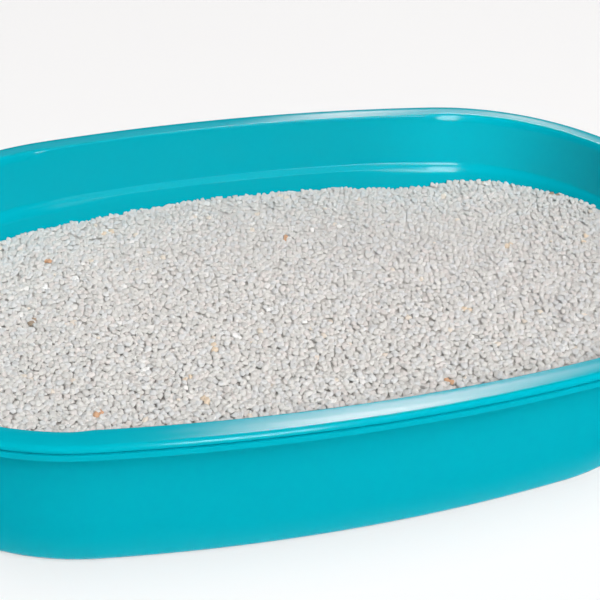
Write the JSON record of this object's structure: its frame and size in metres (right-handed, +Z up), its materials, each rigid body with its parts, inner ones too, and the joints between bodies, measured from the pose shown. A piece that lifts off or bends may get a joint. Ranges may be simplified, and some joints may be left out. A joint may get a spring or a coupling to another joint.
{
  "type": "cat litter tray",
  "caption": "Open oval litter tray with leaning walls, a flat rim turned down into a two-tier skirt and a step inside, filled with a bed of crushed clay granules.",
  "frame": {"origin": "middle of the tray's base, on the plane of the foot band that it stands on", "axes": "+X along the tray's long side, +Y across it, towards the far side in the picture, +Z up"},
  "size_m": [0.488, 0.292, 0.1],
  "materials": {
    "tray_plastic": "smooth moulded turquoise polypropylene with a soft gloss",
    "litter_clay": "dry matt light grey crushed clay"
  },
  "bodies": {
    "root": {"tray": "tray_plastic", "litter": "litter_clay"}
  },
  "joints": []
}
